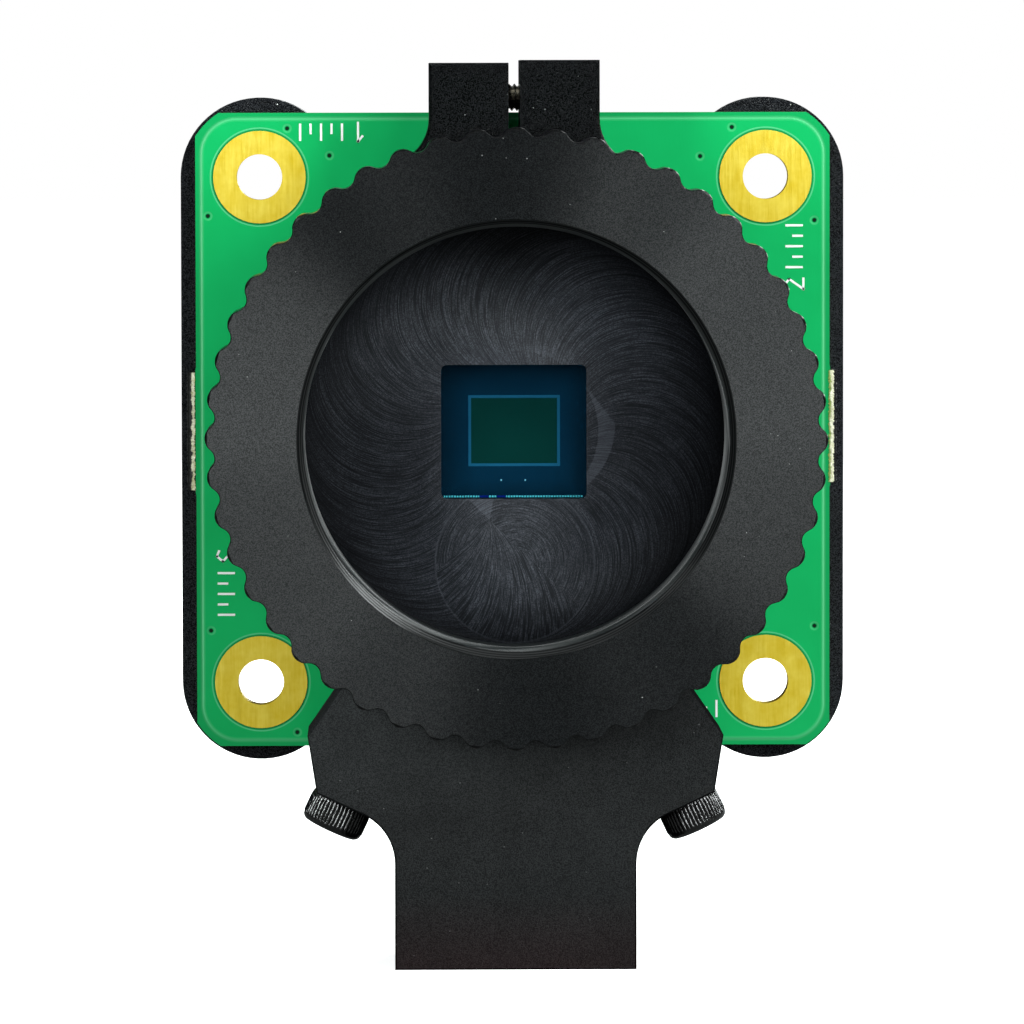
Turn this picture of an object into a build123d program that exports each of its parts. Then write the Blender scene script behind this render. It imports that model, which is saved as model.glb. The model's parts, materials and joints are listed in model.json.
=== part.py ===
from build123d import *
from math import cos, radians, sin
import os

# Camera module for screw-in lenses, standing on the foot of its tripod mount.
# Sizes are in millimetres. X is to the right as seen from the lens side, Y runs from the
# lens side to the rear, and Z is up. The origin is the mouth of the tripod thread, in the
# middle of the foot's underside. Levels are heights over the board's front face, towards
# the lens, and a negative level lies behind that face.

# Lens axis and lens mount
lens_axis_height = 31.37
flange_distance = 12.526
lens_thread_radius = 12.27
lens_mouth_radius = 12.7

# Circuit board
board_side = 37.6
board_thickness = 1.4
board_corner_radius = 4.5
mounting_hole_spacing = 30.0
mounting_hole_radius = 1.35
plating_thickness = 0.05
pad_radius = 2.74
pad_thickness = 0.04
pad_relief_clearance = 0.3
tab_stubs = ((-1, 0.5, 6.98, -0.07), (1, 0.39, 6.66, 0.16))
tab_root_fillet = 0.35

# Image sensor
package_width = 11.4
package_height = 10.6
package_rim_level = 1.15
package_wall = 0.9
die_margin = 0.3
die_level = 0.874
die_thickness = 0.3
cover_glass_thickness = 0.35
cover_glass_inset = 0.3

# Lens housing
housing_radius = 17.3
housing_height = 7.6
floor_level = 3.2
floor_thickness = 1.6
under_floor_radius = 12.6
window_width = 8.58
window_height = 7.9
window_corner_radius = 0.35
filter_border = 0.7
filter_thickness = 0.5
filter_glue_gap = 0.1
gasket_width = 1.1
gasket_clearance = 0.2
edge_break = 0.2

# Clamp ears of the housing
ear_width = 9.95
ear_over_screw = 2.18
ear_step = 0.16
ear_root_fillet = 2.7
ear_back_level = 0.6
clamp_slit = 0.68
ear_edge_break = 0.15

# Focus ring
ring_tip_radius = 18.0
knurl_depth = 0.54
knurl_waves = 48
knurl_tip_share = 0.533
knurl_flats = 4
knurl_turn = -0.3
knurl_blank_room = 0.1
ring_flange_thickness = 5.0
ring_sleeve_length = 3.4
lens_thread_depth = 6.8
thread_relief_radius = 13.0
sleeve_radius = 14.2
thread_running_clearance = 0.05
ring_edge_break = 0.15

# Focus lock screw, across the ears
lock_screw_rise = 2.4
lock_screw_radius = 0.8
lock_head_radius = 1.5
lock_head_length = 1.6
lock_head_sunk = 0.1
lock_key_size = 1.5
lock_key_depth = 0.8

# Tripod mount
foot_width = 14.16
foot_depth = 9.2
foot_to_board_gap = 0.5
wing_back_level = 0.5
wing_angle = 34.7
wing_corner_distance = 21.4
screw_angle = 25.0
screw_seat_distance = 23.93
screw_seat_outer = 1.7
foot_fillet = 3.2
tripod_thread_radius = 2.6
tripod_thread_length = 8.0
mount_edge_break = 0.1
spot_face_clearance = 0.1
cradle_clearance = 0.02

# Socket screws that hold the tripod mount, and those that hold the board and rear cover
screw_radius = 1.0
screw_clearance = 0.1
screw_thread_clearance = 0.02
screw_head_radius = 1.87
screw_head_height = 1.92
screw_key_size = 1.5
screw_key_depth = 1.0
mount_screw_level = 3.6
mount_screw_bite = 2.0
housing_screw_inset = 1.55
housing_screw_bite = 2.2
washer_radius = 2.0
washer_thickness = 0.3
screw_tip_room = 0.3
cut_overrun = 0.5

# Rear cover
cover_depth = 4.96
cover_lobe_radius = 4.7
cover_wall = 1.5
cover_plate = 1.4
cover_top_inset = 0.8
cover_hole_radius = 1.9
cover_boss_wall = 1.1
screw_recess_clearance = 0.2
screw_recess_depth = 2.6
cover_blend = 0.8

# Ribbon connector on the board's rear
connector_width = 20.4
connector_length = 4.6
connector_height = 2.5
connector_edge_inset = 0.4
ribbon_slot_width = 16.3
ribbon_slot_height = 0.6
ribbon_slot_level = 1.0
contact_count = 15
contact_pitch = 1.0
contact_width = 0.35
contact_thickness = 0.2
contact_tail = 0.6
latch_length = 1.0
latch_arm = 2.6
latch_travel = 1.0
latch_ear = 0.5
latch_clearance = 0.05
latch_board_gap = 0.35
opening_clearance = 0.4

# Chips and passives
oscillator_width = 2.5
oscillator_height = 2.0
oscillator_thickness = 0.8
regulator_width = 1.7
regulator_height = 2.9
regulator_thickness = 1.0
passive_length = 1.6
passive_width = 0.8
passive_thickness = 0.7
resistor_length = 1.0
resistor_width = 0.5
resistor_thickness = 0.35
oscillator_place = (6.0, 8.6)
regulator_places = ((-9.0, 9.0), (-5.6, 9.0), (-7.3, -5.0))
chip_gap = 0.75
capacitor_field_place = (0.4, 2.1)
capacitor_field_pitch = (3.4, 2.6)
resistor_field_place = (7.9, -5.4)
resistor_field_pitch = (1.4, 2.4)

# Levels and distances worked out from the sizes above
board_y = housing_height - foot_depth / 2
flange_level = die_level + flange_distance
ring_back_level = flange_level - ring_flange_thickness
sleeve_end_level = ring_back_level - ring_sleeve_length
floor_underside = floor_level - floor_thickness
filter_ceiling = floor_underside + filter_thickness + filter_glue_gap
rear_level = -board_thickness
cover_back_level = rear_level - cover_depth
cover_inner_level = cover_back_level + cover_plate
screw_seat_level = cover_back_level + screw_recess_depth
sleeve_bore_radius = sleeve_radius + thread_running_clearance
cradle_radius = housing_radius + cradle_clearance
board_front = Plane(origin=(0, board_y, lens_axis_height), x_dir=(1, 0, 0), z_dir=(0, -1, 0))
board_rear = Plane(origin=(0, board_y + board_thickness, lens_axis_height), x_dir=(-1, 0, 0), z_dir=(0, 1, 0))
corner_square = mounting_hole_spacing + 2 * board_corner_radius
housing_screw_distance = housing_radius - housing_screw_inset
housing_screw_points = [(side * housing_screw_distance, 0) for side in (-1, 1)]
lock_screw_height = housing_radius + lock_screw_rise
ear_top = lock_screw_height + ear_over_screw
lock_seat = ear_width / 2 - lock_head_length - lock_head_sunk
lock_screw_level = (ear_back_level + housing_height) / 2
lock_centre = (0, board_y - lock_screw_level, lens_axis_height + lock_screw_height)
lock_plane = Plane(origin=lock_centre, x_dir=(0, 1, 0), z_dir=(1, 0, 0))

os.makedirs("parts", exist_ok=True)


def finish(part, name):
    """Labels a finished piece and writes its file."""
    part.label = name
    export_step(part, f"parts/{name}.step")


def mount_screw_plane(side, distance):
    """Plane across a tripod mount screw, facing outwards at a distance from the lens axis."""
    turn = radians(screw_angle)
    outward = Vector(side * sin(turn), 0, -cos(turn))
    centre = Vector(0, board_y - mount_screw_level, lens_axis_height)
    return Plane(origin=centre + outward * distance, x_dir=(0, 1, 0), z_dir=outward)


def housing_screw_plane(point, level):
    """Plane across a housing screw at a level, facing the rear."""
    x, height = point
    return Plane(origin=(x, board_y - level, lens_axis_height + height), x_dir=(1, 0, 0), z_dir=(0, 1, 0))


def socket_screw(head_plane, shank_length):
    """Socket screw whose head stands on a plane, with its shank behind that plane."""
    with BuildPart() as screw:
        with BuildSketch(head_plane):
            Circle(screw_head_radius)
        extrude(amount=screw_head_height)
        with BuildSketch(head_plane):
            Circle(screw_radius)
        extrude(amount=-shank_length)
        with BuildSketch(head_plane.offset(screw_head_height)):
            RegularPolygon(screw_key_size / 2, 6, major_radius=False)
        extrude(amount=-screw_key_depth, mode=Mode.SUBTRACT)
    return screw.part


def chips(places, length, width, thickness):
    """Plain moulded chips standing on the board's rear, one at each place (x, y, turn)."""
    with BuildPart() as row:
        with BuildSketch(board_rear):
            for x, y, turn in places:
                with Locations(Location((x, y), turn)):
                    Rectangle(length, width)
        extrude(amount=thickness)
    return row.part


def beside(place, chip_width, side):
    """Place of a capacitor that stands upright beside a chip."""
    x, y = place
    return (x + side * (chip_width / 2 + chip_gap + passive_width / 2), y, 90)


def along(place, chip_height, side):
    """Place of a resistor that lies along the top or bottom of a chip."""
    x, y = place
    return (x, y + side * (chip_height / 2 + chip_gap + resistor_width / 2), 0)


def field(centre, pitch, columns, rows, angle):
    """Places of passives in a grid round a centre."""
    left = centre[0] - (columns - 1) / 2 * pitch[0]
    bottom = centre[1] - (rows - 1) / 2 * pitch[1]
    return [
        (left + column * pitch[0], bottom + row * pitch[1], angle)
        for column in range(columns)
        for row in range(rows)
    ]


# Circuit board, with the stubs of the tabs that held it in its panel
with BuildPart() as circuit_board:
    with BuildSketch(board_front.offset(rear_level)) as board_outline:
        Rectangle(board_side, board_side)
        RectangleRounded(corner_square, corner_square, board_corner_radius, mode=Mode.INTERSECT)
        for side, stub, stub_length, middle in tab_stubs:
            with Locations((side * board_side / 2, middle)):
                Rectangle(2 * stub, stub_length)
        tab_roots = [
            corner
            for corner in board_outline.vertices()
            if abs(abs(corner.X) - board_side / 2) < 1e-4 and abs(corner.Y) < board_corner_radius
        ]
        fillet(tab_roots, tab_root_fillet)
        with GridLocations(mounting_hole_spacing, mounting_hole_spacing, 2, 2):
            Circle(mounting_hole_radius + plating_thickness, mode=Mode.SUBTRACT)
        with Locations(*housing_screw_points):
            Circle(screw_radius + screw_clearance, mode=Mode.SUBTRACT)
    extrude(amount=board_thickness)
finish(circuit_board.part, "circuit_board")

# Plated mounting holes: a pad on the front face and the barrel behind it
with BuildPart() as mounting_hole_plating:
    with BuildSketch(board_front.offset(rear_level)):
        with GridLocations(mounting_hole_spacing, mounting_hole_spacing, 2, 2):
            Circle(mounting_hole_radius + plating_thickness)
    extrude(amount=board_thickness)
    with BuildSketch(board_front):
        with GridLocations(mounting_hole_spacing, mounting_hole_spacing, 2, 2):
            Circle(pad_radius)
    extrude(amount=pad_thickness)
    with BuildSketch(board_front.offset(rear_level)):
        with GridLocations(mounting_hole_spacing, mounting_hole_spacing, 2, 2):
            Circle(mounting_hole_radius)
    extrude(amount=board_thickness + pad_thickness, mode=Mode.SUBTRACT)
finish(mounting_hole_plating.part, "mounting_hole_plating")

# Sensor package: an open tray that carries the die
tray_width = package_width - 2 * package_wall
tray_height = package_height - 2 * package_wall
with BuildPart() as sensor_package:
    with BuildSketch(board_front):
        Rectangle(package_width, package_height)
    extrude(amount=package_rim_level)
    with BuildSketch(board_front.offset(die_level - die_thickness)):
        Rectangle(tray_width, tray_height)
    extrude(amount=package_rim_level, mode=Mode.SUBTRACT)
finish(sensor_package.part, "sensor_package")

with BuildPart() as sensor_die:
    with BuildSketch(board_front.offset(die_level - die_thickness)):
        Rectangle(tray_width - 2 * die_margin, tray_height - 2 * die_margin)
    extrude(amount=die_thickness)
finish(sensor_die.part, "sensor_die")

with BuildPart() as sensor_cover_glass:
    with BuildSketch(board_front.offset(package_rim_level)):
        Rectangle(package_width - 2 * cover_glass_inset, package_height - 2 * cover_glass_inset)
    extrude(amount=cover_glass_thickness)
finish(sensor_cover_glass.part, "sensor_cover_glass")

# Soft frame that keeps light and dust out between the board and the housing's floor
gasket_inner_width = package_width + 2 * gasket_clearance
gasket_inner_height = package_height + 2 * gasket_clearance
with BuildPart() as sensor_gasket:
    with BuildSketch(board_front):
        Rectangle(gasket_inner_width + 2 * gasket_width, gasket_inner_height + 2 * gasket_width)
        Rectangle(gasket_inner_width, gasket_inner_height, mode=Mode.SUBTRACT)
    extrude(amount=floor_underside)
finish(sensor_gasket.part, "sensor_gasket")

# Infrared filter, glued into a pocket under the window
filter_width = window_width + 2 * filter_border
filter_height = window_height + 2 * filter_border
with BuildPart() as infrared_filter:
    with BuildSketch(board_front.offset(filter_ceiling - filter_thickness)):
        Rectangle(filter_width, filter_height)
    extrude(amount=filter_thickness)
finish(infrared_filter.part, "infrared_filter")

# Lens housing, one piece: round wall, floor with its window, and the two clamp ears
with BuildPart() as main_housing:
    with BuildSketch(board_front):
        Circle(housing_radius)
    extrude(amount=housing_height)
    with BuildSketch(board_front.offset(ear_back_level)) as clamp_outline:
        Circle(housing_radius)
        with Locations((0, ear_top / 2)):
            Rectangle(ear_width, ear_top)
        ear_roots = [
            corner
            for corner in clamp_outline.vertices()
            if abs(abs(corner.X) - ear_width / 2) < 1e-4 and 0 < corner.Y < housing_radius
        ]
        fillet(ear_roots, ear_root_fillet)
        with Locations((-ear_width / 4, ear_top)):
            Rectangle(ear_width / 2, 2 * ear_step, mode=Mode.SUBTRACT)
    extrude(amount=housing_height - ear_back_level)
    front_rim = main_housing.faces().sort_by(Axis.Y)[0].outer_wire().edges()
    chamfer(front_rim, ear_edge_break)
    with BuildSketch(board_front.offset(floor_level)):
        Circle(sleeve_bore_radius)
    extrude(amount=housing_height, mode=Mode.SUBTRACT)
    with BuildSketch(board_front):
        Circle(under_floor_radius)
    extrude(amount=floor_underside, mode=Mode.SUBTRACT)
    with BuildSketch(board_front.offset(floor_underside)):
        Rectangle(filter_width + 2 * filter_glue_gap, filter_height + 2 * filter_glue_gap)
    extrude(amount=filter_ceiling - floor_underside, mode=Mode.SUBTRACT)
    with BuildSketch(board_front.offset(filter_ceiling)):
        RectangleRounded(window_width, window_height, window_corner_radius)
    extrude(amount=floor_level, mode=Mode.SUBTRACT)
    with BuildSketch(board_front.offset(floor_level)):
        with Locations((0, (sleeve_radius + ear_top) / 2)):
            Rectangle(clamp_slit, ear_top - sleeve_radius + 2 * cut_overrun)
    extrude(amount=housing_height, mode=Mode.SUBTRACT)
    with BuildSketch(board_front.offset(ear_back_level)):
        with Locations((0, (housing_radius + ear_top) / 2)):
            Rectangle(clamp_slit, ear_top - housing_radius + cut_overrun)
    extrude(amount=housing_height, mode=Mode.SUBTRACT)
    with BuildSketch(board_front):
        with GridLocations(mounting_hole_spacing, mounting_hole_spacing, 2, 2):
            Circle(pad_radius + pad_relief_clearance)
    extrude(amount=housing_height, mode=Mode.SUBTRACT)
    for side in (-1, 1):
        with BuildSketch(mount_screw_plane(side, housing_radius - mount_screw_bite - screw_tip_room)):
            Circle(screw_radius + screw_thread_clearance)
        extrude(amount=mount_screw_bite + screw_tip_room + cut_overrun, mode=Mode.SUBTRACT)
    for point in housing_screw_points:
        with BuildSketch(housing_screw_plane(point, housing_screw_bite + screw_tip_room)):
            Circle(screw_radius + screw_thread_clearance)
        extrude(amount=housing_screw_bite + screw_tip_room, mode=Mode.SUBTRACT)
    with BuildSketch(lock_plane):
        Circle(lock_screw_radius + screw_thread_clearance)
    extrude(amount=-ear_width, mode=Mode.SUBTRACT)
    with BuildSketch(lock_plane):
        Circle(lock_screw_radius + screw_clearance)
    extrude(amount=ear_width, mode=Mode.SUBTRACT)
    with BuildSketch(lock_plane.offset(lock_seat)):
        Circle(lock_head_radius + screw_clearance)
    extrude(amount=ear_width, mode=Mode.SUBTRACT)
finish(main_housing.part, "main_housing")

# Focus lock screw, sunk in the right ear and threaded into the left one
with BuildPart() as focus_lock_screw:
    with BuildSketch(lock_plane.offset(lock_seat)):
        Circle(lock_head_radius)
    extrude(amount=lock_head_length)
    with BuildSketch(lock_plane.offset(lock_seat)):
        Circle(lock_screw_radius)
    extrude(amount=-lock_seat - ear_width / 2 + screw_tip_room)
    with BuildSketch(lock_plane.offset(lock_seat + lock_head_length)):
        RegularPolygon(lock_key_size / 2, 6, major_radius=False)
    extrude(amount=-lock_key_depth, mode=Mode.SUBTRACT)
finish(focus_lock_screw.part, "focus_lock_screw")

# Focus ring: a flange with a wavy rim, a threaded sleeve behind it and the lens thread through both
wave_angle = 360 / knurl_waves
tip_half_angle = wave_angle * knurl_tip_share / 2
valley_half_angle = wave_angle / 2 - tip_half_angle
blank_radius = ring_tip_radius + knurl_blank_room
mean_radius = ring_tip_radius - knurl_depth / 2


def rim_point(radius, angle):
    """Point of the rim at a radius and an angle in degrees."""
    return (radius * cos(radians(angle)), radius * sin(radians(angle)))


def bend(middle, half_angle, rise):
    """Corners of the few flats that round a tip or a valley of the rim, spaced along an arc."""
    arc = ThreePointArc(
        rim_point(mean_radius, middle - half_angle),
        rim_point(mean_radius + rise, middle),
        rim_point(mean_radius, middle + half_angle),
        mode=Mode.PRIVATE,
    )
    return [arc @ (flat / knurl_flats) for flat in range(knurl_flats)]


rim_corners = []
for wave in range(knurl_waves):
    tip = knurl_turn + wave * wave_angle
    rim_corners += bend(tip, tip_half_angle, knurl_depth / 2)
    rim_corners += bend(tip + wave_angle / 2, valley_half_angle, -knurl_depth / 2)

# The blank has one side over each wave
with BuildPart() as focus_ring:
    with BuildSketch(board_front.offset(ring_back_level)):
        RegularPolygon(blank_radius, knurl_waves, major_radius=False, rotation=knurl_turn + wave_angle / 2)
    extrude(amount=ring_flange_thickness)
    blank_front = focus_ring.faces().sort_by(Axis.Y)[0]
    chamfer(blank_front.edges(), ring_edge_break + knurl_blank_room)
    with BuildSketch(board_front.offset(ring_back_level)):
        Circle(blank_radius + knurl_depth)
        with BuildLine():
            Polyline(*rim_corners, close=True)
        make_face(mode=Mode.SUBTRACT)
    extrude(amount=ring_flange_thickness, mode=Mode.SUBTRACT)
    with BuildSketch(board_front.offset(sleeve_end_level)):
        Circle(sleeve_radius)
    extrude(amount=ring_sleeve_length)
    with BuildSketch(board_front.offset(sleeve_end_level)):
        Circle(lens_thread_radius)
    extrude(amount=ring_sleeve_length + ring_flange_thickness, mode=Mode.SUBTRACT)
    with BuildSketch(board_front.offset(sleeve_end_level)):
        Circle(thread_relief_radius)
    extrude(amount=flange_level - lens_thread_depth - sleeve_end_level, mode=Mode.SUBTRACT)
    sleeve_end = focus_ring.faces().filter_by(Axis.Y).sort_by(Axis.Y)[-1]
    chamfer(sleeve_end.outer_wire().edges(), edge_break)
    ring_front = focus_ring.faces().filter_by(Axis.Y).sort_by(Axis.Y)[0]
    chamfer(ring_front.inner_wires()[0].edges(), lens_mouth_radius - lens_thread_radius)
finish(focus_ring.part, "focus_ring")

# Tripod mount: a cradle round the housing, two wings that seat its screws, and the foot
turn = radians(screw_angle)
seat_normal = Vector(sin(turn), -cos(turn))
seat_along = Vector(cos(turn), sin(turn))
seat_corner = seat_normal * screw_seat_distance + seat_along * screw_seat_outer
foot_corner_height = -(screw_seat_distance - foot_width / 2 * sin(turn)) / cos(turn)
wing_direction = Vector(sin(radians(wing_angle)), -cos(radians(wing_angle)))
wing_corner = wing_direction * wing_corner_distance
wing_root = wing_direction * cradle_radius
foot_back_level = housing_height - foot_depth
foot_top = -board_side / 2 - foot_to_board_gap
with BuildPart() as tripod_mount:
    with BuildSketch(board_front.offset(wing_back_level)) as mount_outline:
        with BuildLine():
            Polyline(
                (0, -lens_axis_height),
                (foot_width / 2, -lens_axis_height),
                (foot_width / 2, foot_corner_height),
                seat_corner,
                wing_corner,
                wing_root,
            )
            ThreePointArc(wing_root, (0, -cradle_radius), (-wing_root.X, wing_root.Y))
            Polyline(
                (-wing_root.X, wing_root.Y),
                (-wing_corner.X, wing_corner.Y),
                (-seat_corner.X, seat_corner.Y),
                (-foot_width / 2, foot_corner_height),
                (-foot_width / 2, -lens_axis_height),
                (0, -lens_axis_height),
            )
        make_face()
        foot_corners = [
            corner
            for corner in mount_outline.vertices()
            if abs(abs(corner.X) - foot_width / 2) < 1e-4 and abs(corner.Y - foot_corner_height) < 1e-4
        ]
        fillet(foot_corners, foot_fillet)
    extrude(amount=housing_height - wing_back_level)
    front_rim = tripod_mount.faces().sort_by(Axis.Y)[0].edges()
    chamfer(front_rim, mount_edge_break)
    with BuildSketch(board_front.offset(foot_back_level)):
        with Locations((0, (foot_top - lens_axis_height) / 2)):
            Rectangle(foot_width, lens_axis_height + foot_top)
    extrude(amount=wing_back_level - foot_back_level)
    for side in (-1, 1):
        with BuildSketch(mount_screw_plane(side, screw_seat_distance)):
            Circle(screw_radius + screw_clearance)
        extrude(amount=-screw_seat_distance + housing_radius / 2, mode=Mode.SUBTRACT)
        with BuildSketch(mount_screw_plane(side, screw_seat_distance)):
            Circle(screw_head_radius + spot_face_clearance)
        extrude(amount=screw_head_height, mode=Mode.SUBTRACT)
    with BuildSketch(Plane.XY):
        Circle(tripod_thread_radius)
    extrude(amount=tripod_thread_length, mode=Mode.SUBTRACT)
finish(tripod_mount.part, "tripod_mount")

# Two screws through the wings into the housing's wall
mount_screw_length = screw_seat_distance - housing_radius + mount_screw_bite
mount_screws = [
    socket_screw(mount_screw_plane(side, screw_seat_distance), mount_screw_length)
    for side in (-1, 1)
]
finish(Compound(children=mount_screws), "tripod_mount_screws")

# Rear cover: a tray behind the board, with a solid lobe round each mounting hole
cover_side = mounting_hole_spacing + 2 * cover_lobe_radius
cover_inner_half = cover_side / 2 - cover_wall
cover_edge = board_side / 2 - cover_top_inset
cover_pocket_arm = mounting_hole_spacing - 2 * (cover_hole_radius + cover_boss_wall)
recess_radius = screw_head_radius + screw_recess_clearance
with BuildPart() as rear_cover:
    with BuildSketch(board_front.offset(cover_back_level)) as cover_outline:
        Rectangle(cover_side, mounting_hole_spacing)
        Rectangle(mounting_hole_spacing, 2 * cover_edge)
        with GridLocations(mounting_hole_spacing, mounting_hole_spacing, 2, 2):
            Circle(cover_lobe_radius)
        lobe_roots = [
            corner
            for corner in cover_outline.vertices()
            if abs(abs(corner.Y) - cover_edge) < 1e-4 and abs(corner.X) < mounting_hole_spacing / 2
        ]
        fillet(lobe_roots, cover_blend)
    extrude(amount=cover_depth)
    cover_face = rear_cover.faces().sort_by(Axis.Y)[-1]
    chamfer(cover_face.edges(), edge_break * 2)
    with BuildSketch(board_front.offset(cover_inner_level)):
        Rectangle(2 * cover_inner_half, cover_pocket_arm)
        Rectangle(cover_pocket_arm, 2 * (cover_edge - cover_wall))
    extrude(amount=cover_depth, mode=Mode.SUBTRACT)
    with BuildSketch(board_front.offset(cover_inner_level)):
        with Locations(*housing_screw_points):
            Circle(recess_radius + cover_boss_wall)
    extrude(amount=rear_level - cover_inner_level)
    with BuildSketch(board_front.offset(cover_back_level)):
        with GridLocations(mounting_hole_spacing, mounting_hole_spacing, 2, 2):
            Circle(cover_hole_radius)
        with Locations(*housing_screw_points):
            Circle(screw_radius + screw_clearance)
    extrude(amount=cover_depth, mode=Mode.SUBTRACT)
    with BuildSketch(board_front.offset(cover_back_level)):
        with Locations(*housing_screw_points):
            Circle(recess_radius)
    extrude(amount=screw_recess_depth, mode=Mode.SUBTRACT)
    slot_width = connector_width + 2 * latch_ear + 2 * opening_clearance
    with BuildSketch(board_front.offset(rear_level - connector_height - opening_clearance)):
        with Locations((0, -cover_edge)):
            Rectangle(slot_width, 2 * cover_wall + 2 * latch_travel)
    extrude(amount=cover_depth, mode=Mode.SUBTRACT)
finish(rear_cover.part, "rear_cover")

# Two screws with washers that clamp the rear cover and the board to the housing
head_seat_level = screw_seat_level - washer_thickness
housing_screw_length = housing_screw_bite - head_seat_level
housing_screws = [
    socket_screw(housing_screw_plane(point, head_seat_level), housing_screw_length)
    for point in housing_screw_points
]
finish(Compound(children=housing_screws), "housing_screws")

with BuildPart() as housing_screw_washers:
    with BuildSketch(board_front.offset(head_seat_level)):
        with Locations(*housing_screw_points):
            Circle(washer_radius)
            Circle(screw_radius + screw_clearance, mode=Mode.SUBTRACT)
    extrude(amount=washer_thickness)
finish(housing_screw_washers.part, "housing_screw_washers")

# Ribbon connector: a body on the board's rear with its slot facing down
connector_bottom = -board_side / 2 + connector_edge_inset
connector_middle = connector_bottom + connector_length / 2
with BuildPart() as ribbon_connector:
    with BuildSketch(board_rear):
        with Locations((0, connector_middle)):
            Rectangle(connector_width, connector_length)
    extrude(amount=connector_height)
    with BuildSketch(board_rear.offset(ribbon_slot_level)):
        with Locations((0, connector_middle - contact_tail)):
            Rectangle(ribbon_slot_width, connector_length)
    extrude(amount=ribbon_slot_height, mode=Mode.SUBTRACT)
    with BuildSketch(board_rear):
        with Locations((0, connector_middle)):
            with GridLocations(contact_pitch, 0, contact_count, 1):
                Rectangle(contact_width, connector_length)
    extrude(amount=contact_thickness, mode=Mode.SUBTRACT)
finish(ribbon_connector.part, "ribbon_connector")

with BuildPart() as connector_contacts:
    with BuildSketch(board_rear):
        with Locations((0, connector_middle + contact_tail / 2)):
            with GridLocations(contact_pitch, 0, contact_count, 1):
                Rectangle(contact_width, connector_length + contact_tail)
    extrude(amount=contact_thickness)
finish(connector_contacts.part, "connector_contacts")

# Latch across the connector's mouth, with an arm along each end of the connector
arm_centre = connector_width / 2 + (latch_clearance + latch_ear) / 2
with BuildPart() as connector_latch:
    with BuildSketch(board_rear.offset(latch_board_gap)):
        with Locations((0, connector_bottom - latch_length / 2)):
            Rectangle(connector_width + 2 * latch_ear, latch_length)
    extrude(amount=connector_height - latch_board_gap)
    with BuildSketch(board_rear.offset(latch_board_gap)):
        with Locations((0, connector_bottom + latch_arm / 2)):
            with GridLocations(2 * arm_centre, 0, 2, 1):
                Rectangle(latch_ear - latch_clearance, latch_arm)
    extrude(amount=connector_height - latch_board_gap)
    with BuildSketch(board_rear.offset(ribbon_slot_level)):
        with Locations((0, connector_bottom)):
            Rectangle(ribbon_slot_width, 3 * latch_length)
    extrude(amount=ribbon_slot_height, mode=Mode.SUBTRACT)
finish(connector_latch.part, "connector_latch")

# Chips on the board's rear, inside the cover
oscillator_places = [(*oscillator_place, 0)]
clock_oscillator = chips(oscillator_places, oscillator_width, oscillator_height, oscillator_thickness)
finish(clock_oscillator, "clock_oscillator")

upright_places = [(*place, 0) for place in regulator_places]
voltage_regulators = chips(upright_places, regulator_width, regulator_height, regulator_thickness)
finish(voltage_regulators, "voltage_regulators")

# Capacitors at the supply pins of the chips, and a field of them behind the sensor
left_regulator, right_regulator, lower_regulator = regulator_places
capacitor_places = [
    beside(left_regulator, regulator_width, -1),
    beside(right_regulator, regulator_width, 1),
    beside(lower_regulator, regulator_width, -1),
    beside(lower_regulator, regulator_width, 1),
    beside(oscillator_place, oscillator_width, -1),
    beside(oscillator_place, oscillator_width, 1),
    *field(capacitor_field_place, capacitor_field_pitch, 3, 2, 0),
]
capacitors = chips(capacitor_places, passive_length, passive_width, passive_thickness)
finish(capacitors, "capacitors")

# Resistors at the chips' control pins, and a field of them near the connector
resistor_places = [
    along(oscillator_place, oscillator_height, -1),
    along(oscillator_place, oscillator_height, 1),
    *[along(place, regulator_height, -1) for place in regulator_places],
    *field(resistor_field_place, resistor_field_pitch, 2, 2, 90),
]
resistors = chips(resistor_places, resistor_length, resistor_width, resistor_thickness)
finish(resistors, "resistors")
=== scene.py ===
"""Look of the camera module: materials, fine detail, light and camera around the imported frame.

Lengths are in metres. Names that end in _mm hold millimetres, and so do the coordinates inside
the materials, where x and z are measured from the lens axis and d from the board's front face
towards the lens.
"""

import json
from math import ceil, cos, pi, radians, sin, sqrt
from random import Random

import bpy
from mathutils import Matrix, Vector


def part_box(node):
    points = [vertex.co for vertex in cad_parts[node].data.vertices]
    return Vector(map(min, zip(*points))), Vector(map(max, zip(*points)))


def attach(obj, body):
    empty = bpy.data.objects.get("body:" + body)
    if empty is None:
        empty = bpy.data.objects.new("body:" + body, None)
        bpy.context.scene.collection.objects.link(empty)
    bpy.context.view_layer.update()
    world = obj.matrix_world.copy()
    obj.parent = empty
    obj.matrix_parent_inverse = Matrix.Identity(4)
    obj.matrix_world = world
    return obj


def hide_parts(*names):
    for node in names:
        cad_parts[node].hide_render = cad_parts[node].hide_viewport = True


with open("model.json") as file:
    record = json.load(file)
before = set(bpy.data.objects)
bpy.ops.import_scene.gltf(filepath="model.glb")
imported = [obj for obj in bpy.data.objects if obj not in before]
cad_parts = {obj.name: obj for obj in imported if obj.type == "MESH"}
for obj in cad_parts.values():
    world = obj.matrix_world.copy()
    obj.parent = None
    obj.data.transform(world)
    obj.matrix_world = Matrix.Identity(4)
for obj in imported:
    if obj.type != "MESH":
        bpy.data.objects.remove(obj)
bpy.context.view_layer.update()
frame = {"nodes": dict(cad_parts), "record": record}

# Places taken from the frame
MM = 0.001
mounts = {mount["name"]: mount for mount in frame["record"]["mounts"]}
axis_z = mounts["lens_thread"]["pos_m"][2]
board_y = mounts["board_holes"]["pos_m"][1]
hole_spacing_mm = mounts["board_holes"]["dims"]["spacing_x_mm"]
thread_minor_mm = mounts["lens_thread"]["dims"]["r_mm"]


def level_mm(y):
    """Height over the board's front face, towards the lens, of a place at y."""
    return (board_y - y) / MM


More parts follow.
